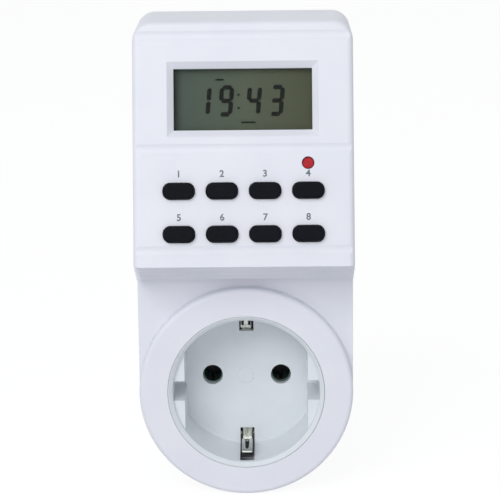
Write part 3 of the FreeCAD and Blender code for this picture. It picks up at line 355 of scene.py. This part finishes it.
# Solder mask over copper, which shows as paler green lands.
def board_tone(tree, place):
    tracks = add(tree, "ShaderNodeTexVoronoi", {"Scale": 1 / TRACK_PITCH, "Randomness": TRACK_DISORDER},
                 {"Vector": place}, distance="CHEBYCHEV")
    return tones(tree, tracks.outputs["Distance"], (0.25, "#2F6B3C"), (0.32, "#1F5230"))


def circuit_board():
    return surface("solder_masked_glass_epoxy", board_tone, 0.3, 0.01, (0.3, 0.45), IOR=1.55)


# Epoxy dropped on and cured: black, smooth and slumped.
def black_epoxy():
    return surface("cured_black_epoxy", mottled("#121212", "#191918", 3), 0.8, 0.03, (0.2, 0.35),
                   IOR=1.55)


# Nickel-plated steel can, pressed and tumbled.
def plated_can():
    return surface("pressed_steel_can", mottled("#B7B9BA", "#A2A5A7", 3), 0.3, 0.006, (0.25, 0.4),
                   Metallic=1.0)


# Relay case: black polyester with a fine matt grain.
def relay_case():
    return surface("black_moulded_polyester", mottled("#1B1D20", "#222529", 7), 0.3, 0.02, (0.45, 0.6),
                   IOR=1.57)


# Film capacitor in a boxed yellow case.
def capacitor_case():
    return surface("yellow_moulded_case", mottled("#C9A227", "#B8921F", 6), 0.4, 0.012, (0.38, 0.5),
                   IOR=1.55)


# Heat-shrunk sleeve, drawn tight with faint waves along the can.
def shrunk_sleeve():
    return surface("heat_shrunk_sleeve", mottled("#1F2B4D", "#1A2441", 5), 0.8, 0.03, (0.25, 0.38),
                   stretch=(1, 0.3, 1), IOR=1.54)


# Resistor coating with brown bands along its length.
def resistor_tone(tree, place):
    low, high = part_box("fusible_resistor")
    along = add(tree, "ShaderNodeMapRange", {"From Min": low.x, "From Max": high.x},
                {"Value": x_of(tree, place)})
    share = share_of_repeat(tree, along.outputs["Result"], RESISTOR_BANDS)
    return tones(tree, share, (0.68, "#B7A98A"), (0.72, "#6B3A1E"))


def resistor_coating():
    return surface("baked_resistor_coating", resistor_tone, 0.4, 0.02, (0.45, 0.6), IOR=1.5)


# Grey flat cable, with a darker line of painted shade in the groove between one core and the next.
def ribbon_tone(tree, place):
    share = share_of_repeat(tree, x_of(tree, place), 1 / RIBBON_CORE_PITCH)
    return tones(tree, share, (0.08, "#7B7F84"), (0.2, "#A4A8AC"))


def ribbon_sleeve():
    return surface("grey_flat_cable", ribbon_tone, 0.4, 0.01, (0.45, 0.6), IOR=1.52)


# Diode bodies of black epoxy, moulded with a fine satin.
def diode_epoxy():
    return surface("moulded_diode_epoxy", mottled("#1A1A1B", "#26272A", 2), 0.3, 0.01, (0.35, 0.5),
                   IOR=1.55)


KEYS = ["key_week", "key_hour", "key_minute", "key_recall",
        "key_clock", "key_timer", "key_mode", "key_random"]
FINISHES = {
    white_abs: ["front_housing", "rear_housing"],
    white_polyamide: ["socket_insert", "display_frame"],
    black_abs: KEYS + ["reset_switch"],
    red_abs: ["reset_plunger"],
    clear_polycarbonate: ["display_window"],
    liquid_crystal: ["display_glass"],
    nickel_strip: ["earth_strap", "plug_earth_contacts"],
    nickel_pin: ["live_pin", "neutral_pin"],
    spring_bronze: ["live_contact", "neutral_contact", "live_feed_strip"],
    zinc_steel: ["housing_screws", "control_board_screws", "power_board_screws"],
    phenolic: ["contact_carrier"],
    conductive_rubber: ["zebra_strips"],
    silicone_rubber: ["keypad_mat"],
    circuit_board: ["control_board", "power_board"],
    black_epoxy: ["processor_blob"],
    plated_can: ["watch_crystal", "backup_cell"],
    relay_case: ["relay"],
    capacitor_case: ["dropper_capacitor"],
    shrunk_sleeve: ["smoothing_capacitor"],
    diode_epoxy: ["rectifier_diodes"],
    resistor_coating: ["fusible_resistor"],
    ribbon_sleeve: ["ribbon_cable"],
}


def finish_nodes():
    for make, names in FINISHES.items():
        material = make()
        for name in names:
            for slot in frame["nodes"][name].material_slots:
                slot.material = material


def face_point(u, v, depth):
    return Vector((u, HEAD_FRONT + v * math.sin(FACE_LEAN) + depth * math.cos(FACE_LEAN),
                   HEAD_BOTTOM + v * math.cos(FACE_LEAN) - depth * math.sin(FACE_LEAN)))


def new_object(name, mesh, finish):
    mesh.materials.clear()
    mesh.materials.append(finish)
    thing = bpy.data.objects.new(name, mesh)
    bpy.context.scene.collection.objects.link(thing)
    return thing


# A flat drawing in u and v, made a thin plate whose front stands proud of the given depth.
def plate_on_face(name, flat, finish, depth, slant=0.0, middle_v=0.0):
    bm = bmesh.new()
    bm.from_mesh(flat)
    bmesh.ops.remove_doubles(bm, verts=bm.verts, dist=SAME_PLACE)
    raised = bmesh.ops.extrude_face_region(bm, geom=bm.faces[:])
    for vertex in [item for item in raised["geom"] if isinstance(item, bmesh.types.BMVert)]:
        vertex.co.z += MARK_THICKNESS
    for vertex in bm.verts:
        u, v, height = vertex.co
        vertex.co = face_point(u + slant * (v - middle_v), v, depth - height)
    bmesh.ops.recalc_face_normals(bm, faces=bm.faces)
    mesh = bpy.data.meshes.new(name)
    bm.to_mesh(mesh)
    bm.free()
    piece = new_object(name, mesh, finish)
    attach(piece, "housing")


# One lozenge bar, a unit long and a unit wide.
def unit_bar():
    outline = [(-0.5, 0), (-BAR_SHOULDER, -0.5), (BAR_SHOULDER, -0.5),
               (0.5, 0), (BAR_SHOULDER, 0.5), (-BAR_SHOULDER, 0.5)]
    mesh = bpy.data.meshes.new("unit_bar")
    mesh.from_pydata([(x, y, 0) for x, y in outline], [], [range(len(outline))])
    bar = bpy.data.objects.new("unit_bar", mesh)
    bpy.context.scene.collection.objects.link(bar)
    return bar


# The tree sets a bar of one size and turn on each point.
def bars_tree():
    tree = bpy.data.node_groups.new("bars_on_points", "GeometryNodeTree")
    sockets = tree.interface
    sockets.new_socket("Geometry", in_out="INPUT", socket_type="NodeSocketGeometry")
    sockets.new_socket("Bar", in_out="INPUT", socket_type="NodeSocketObject")
    for name in ("Bar length", "Bar width", "Bar turn"):
        sockets.new_socket(name, in_out="INPUT", socket_type="NodeSocketFloat")
    sockets.new_socket("Finish", in_out="INPUT", socket_type="NodeSocketMaterial")
    sockets.new_socket("Geometry", in_out="OUTPUT", socket_type="NodeSocketGeometry")
    given = add(tree, "NodeGroupInput").outputs
    bar = add(tree, "GeometryNodeObjectInfo", links={"Object": given["Bar"]})
    size = add(tree, "ShaderNodeCombineXYZ", {"Z": 1.0}, {"X": given["Bar length"], "Y": given["Bar width"]})
    turn = add(tree, "ShaderNodeCombineXYZ", links={"Z": given["Bar turn"]})
    placed = add(tree, "GeometryNodeInstanceOnPoints", links={
        "Points": given["Geometry"], "Instance": bar.outputs["Geometry"],
        "Scale": size.outputs["Vector"], "Rotation": turn.outputs["Vector"]})
    real = add(tree, "GeometryNodeRealizeInstances", links={"Geometry": placed.outputs["Instances"]})
    painted = add(tree, "GeometryNodeSetMaterial",
                  links={"Geometry": real.outputs["Geometry"], "Material": given["Finish"]})
    add(tree, "NodeGroupOutput", links={"Geometry": painted.outputs["Geometry"]})
    return tree


def bars_on(points, tree, settings):
    mesh = bpy.data.meshes.new("bar_points")
    mesh.from_pydata([(u, v, 0) for u, v in points], [], [])
    holder = bpy.data.objects.new("bar_points", mesh)
    bpy.context.scene.collection.objects.link(holder)
    modifier = holder.modifiers.new("bars", "NODES")
    modifier.node_group = tree
    for socket in tree.interface.items_tree:
        if socket.in_out == "INPUT" and socket.name in settings:
            modifier[socket.identifier] = settings[socket.name]
    bpy.context.view_layer.update()
    made = bpy.data.meshes.new_from_object(holder.evaluated_get(bpy.context.evaluated_depsgraph_get()))
    bpy.data.objects.remove(holder)
    return made


def bar_middles(bars):
    return [(middle + bars[name][0] * DIGIT_WIDTH / 2, DIGITS_MIDDLE_V + bars[name][1] * DIGIT_HEIGHT / 2)
            for middle, digit in zip(DIGIT_MIDDLES, READING)
            for name in LIT_BARS[digit] if name in bars]


def display_digits(finish):
    tree = bars_tree()
    bar = unit_bar()
    for name, bars, length, turn in (
            ("display_level_bars", LEVEL_BARS, DIGIT_WIDTH - BAR_GAP, 0.0),
            ("display_upright_bars", UPRIGHT_BARS, DIGIT_HEIGHT / 2 - BAR_GAP, math.pi / 2)):
        flat = bars_on(bar_middles(bars), tree, {"Bar": bar, "Bar length": length, "Bar width": BAR_WIDTH,
                                                 "Bar turn": turn, "Finish": finish})
        plate_on_face(name, flat, finish, CELL_DEPTH, DIGIT_SLANT, DIGITS_MIDDLE_V)
    bpy.data.objects.remove(bar)


# Two colon dots, and two short strokes over and under the digits.
def display_marks(finish):
    bm = bmesh.new()
    for v in COLON_ROWS:
        bmesh.ops.create_circle(bm, cap_ends=True, segments=COLON_SIDES, radius=COLON_RADIUS,
                                matrix=Matrix.Translation((COLON_U, v, 0)))
    for u, v, length, width in STROKES:
        corners = [(-1, -1), (1, -1), (1, 1), (-1, 1)]
        bm.faces.new([bm.verts.new((u + a * length / 2, v + b * width / 2, 0)) for a, b in corners])
    flat = bpy.data.meshes.new("marks")
    bm.to_mesh(flat)
    bm.free()
    plate_on_face("display_marks", flat, finish, CELL_DEPTH)


# Plain numerals one to eight, over the keys that they number.
def printed_numerals(finish):
    bm = bmesh.new()
    number = 0
    for row in NUMERAL_ROWS:
        for column in KEY_COLUMNS:
            number += 1
            text = bpy.data.curves.new("numeral", "FONT")
            text.body = str(number)
            text.align_x = "CENTER"
            text.size = NUMERAL_HEIGHT / NUMERAL_SHARE_OF_SIZE
            text.offset = NUMERAL_FATTENING
            holder = bpy.data.objects.new("numeral", text)
            bpy.context.scene.collection.objects.link(holder)
            bpy.context.view_layer.update()
            seen = holder.evaluated_get(bpy.context.evaluated_depsgraph_get())
            mesh = bpy.data.meshes.new_from_object(seen)
            mesh.transform(Matrix.Translation((column, row - NUMERAL_HEIGHT / 2, 0)))
            bm.from_mesh(mesh)
            bpy.data.objects.remove(holder)
    flat = bpy.data.meshes.new("numerals")
    bm.to_mesh(flat)
    bm.free()
    plate_on_face("printed_numerals", flat, finish, 0.0)


# The moulding's gate leaves a low round pip in the middle of the well's floor.
def gate_mark(finish):
    bm = bmesh.new()
    turn = Matrix.Translation(GATE_MIDDLE) @ Matrix.Rotation(math.pi / 2, 4, "X")
    bmesh.ops.create_cone(bm, cap_ends=True, segments=GATE_SIDES, radius1=GATE_RADIUS,
                          radius2=GATE_RADIUS - GATE_PROUD * 2, depth=GATE_PROUD * 2, matrix=turn)
    bmesh.ops.recalc_face_normals(bm, faces=bm.faces)
    mesh = bpy.data.meshes.new("gate_mark")
    bm.to_mesh(mesh)
    bm.free()
    piece = new_object("gate_mark", mesh, finish)
    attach(piece, "housing")


# Spring strip folded round the well's floor. Each tongue is two legs that meet at its ends.
def earth_strap(finish):
    low = [(y, -z) for y, z in TONGUE_ROWS]
    high = [(y, z) for y, z in reversed(TONGUE_ROWS)]
    route = low + STRAP_BACK_ROWS + high
    slit = set(SLIT_ROWS) | {len(route) - 2 - row for row in SLIT_ROWS}
    bm = bmesh.new()
    rows = [[bm.verts.new(Vector((x, y, z)) * MM) for x in STRAP_COLUMNS] for y, z in route]
    for number, (row, following) in enumerate(zip(rows, rows[1:])):
        for column in range(len(STRAP_COLUMNS) - 1):
            if column == SLIT_COLUMN and number in slit:
                continue
            bm.faces.new((row[column], row[column + 1], following[column + 1], following[column]))
    bmesh.ops.recalc_face_normals(bm, faces=bm.faces)
    mesh = bpy.data.meshes.new("earth_spring_strap")
    bm.to_mesh(mesh)
    bm.free()
    mesh.shade_smooth()
    piece = new_object("earth_spring_strap", mesh, finish)
    thicken = piece.modifiers.new("thickness", "SOLIDIFY")
    thicken.thickness = STRAP_THICKNESS
    thicken.offset = 0.0
    soften = piece.modifiers.new("rounding", "SUBSURF")
    soften.levels = STRAP_ROUNDING
    soften.render_levels = STRAP_ROUNDING
    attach(piece, "housing")
    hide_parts("earth_strap")


# One for what camera, gloss and clear things see, and nought for light that bounces off surfaces.
def seen_directly(tree):
    rays = add(tree, "ShaderNodeLightPath").outputs
    some = add(tree, "ShaderNodeMath", links={0: rays["Is Camera Ray"], 1: rays["Is Glossy Ray"]},
               operation="ADD", use_clamp=True)
    every = add(tree, "ShaderNodeMath", links={0: some.outputs["Value"], 1: rays["Is Transmission Ray"]},
                operation="ADD", use_clamp=True)
    return every.outputs["Value"]


# Seen directly the floor is near white with the object's shadow, and to other light it is pale paper.
def floor():
    material = new_material("pale_paper_floor")
    tree = material.node_tree
    place = add(tree, "ShaderNodeTexCoord").outputs["Object"]
    fibres = add(tree, "ShaderNodeTexNoise", {"Scale": 1 / PAPER_FIBRE, "Detail": GRAIN_DETAIL},
                 {"Vector": place})
    paper = add(tree, "ShaderNodeBsdfDiffuse",
                links={"Color": tones(tree, fibres.outputs["Fac"], (NOISE_LOW, "#E4E4E6"),
                                      (NOISE_HIGH, "#E8E8EA"))})
    tone = [FLOOR_SHADOW_TONE] * 3 + [1.0]
    shade = add(tree, "ShaderNodeBsdfDiffuse", {"Color": tone})
    glow = add(tree, "ShaderNodeEmission", {"Strength": FLOOR_GLOW})
    seen = add(tree, "ShaderNodeAddShader", links={0: shade.outputs["BSDF"], 1: glow.outputs["Emission"]})
    mix = add(tree, "ShaderNodeMixShader", links={"Fac": seen_directly(tree), 1: paper.outputs["BSDF"],
                                                  2: seen.outputs["Shader"]})
    add(tree, "ShaderNodeOutputMaterial", links={"Surface": mix.outputs["Shader"]})
    half = FLOOR_SIDE / 2
    height = cad_box[0].z
    mesh = bpy.data.meshes.new("floor")
    mesh.from_pydata([(-half, -half, height), (half, -half, height), (half, half, height),
                      (-half, half, height)], [], [(0, 1, 2, 3)])
    new_object("floor", mesh, material)


def world():
    surroundings = bpy.data.worlds.new("studio")
    surroundings.use_nodes = True
    tree = surroundings.node_tree
    tree.nodes.clear()
    fill = add(tree, "ShaderNodeBackground", {"Color": linear("#F4F8FF"), "Strength": WORLD_LEVEL})
    seen = add(tree, "ShaderNodeBackground", {"Color": linear("#FFFFFF"), "Strength": 1.0})
    mix = add(tree, "ShaderNodeMixShader", links={"Fac": seen_directly(tree),
                                                  1: fill.outputs["Background"],
                                                  2: seen.outputs["Background"]})
    add(tree, "ShaderNodeOutputWorld", links={"Surface": mix.outputs["Shader"]})
    bpy.context.scene.world = surroundings


def soft_light(name, place, side, watts):
    lamp = bpy.data.lights.new(name, "AREA")
    lamp.size = side
    lamp.energy = watts
    thing = bpy.data.objects.new(name, lamp)
    thing.location = place
    thing.rotation_euler = (LIGHT_TARGET - place).to_track_quat("-Z", "Y").to_euler()
    bpy.context.scene.collection.objects.link(thing)


# The camera looks along Y, then is turned by its yaw, pitched down and rolled about its own axis.
def camera():
    lens = bpy.data.cameras.new("camera")
    lens.sensor_width = SENSOR_WIDTH
    lens.lens = FOCAL_PIXELS / PICTURE_WIDTH * SENSOR_WIDTH
    lens.clip_start = CLIP_NEAR
    lens.clip_end = CLIP_FAR
    thing = bpy.data.objects.new("camera", lens)
    thing.matrix_world = (Matrix.Translation(CAMERA_PLACE) @ Matrix.Rotation(-CAMERA_YAW, 4, "Z") @
                          Matrix.Rotation(math.pi / 2 - CAMERA_PITCH, 4, "X") @
                          Matrix.Rotation(CAMERA_ROLL, 4, "Z"))
    bpy.context.scene.collection.objects.link(thing)
    bpy.context.scene.camera = thing


def own_pieces():
    bars = liquid_crystal_bar()
    display_digits(bars)
    display_marks(bars)
    printed_numerals(grey_ink())
    gate_mark(frame["nodes"]["socket_insert"].material_slots[0].material)
    earth_strap(frame["nodes"]["plug_earth_contacts"].material_slots[0].material)


camera()
finish_nodes()
own_pieces()
floor()
world()
soft_light("key_light", **KEY_LIGHT)
soft_light("fill_light", **FILL_LIGHT)
bpy.context.scene.view_settings.view_transform = "Standard"
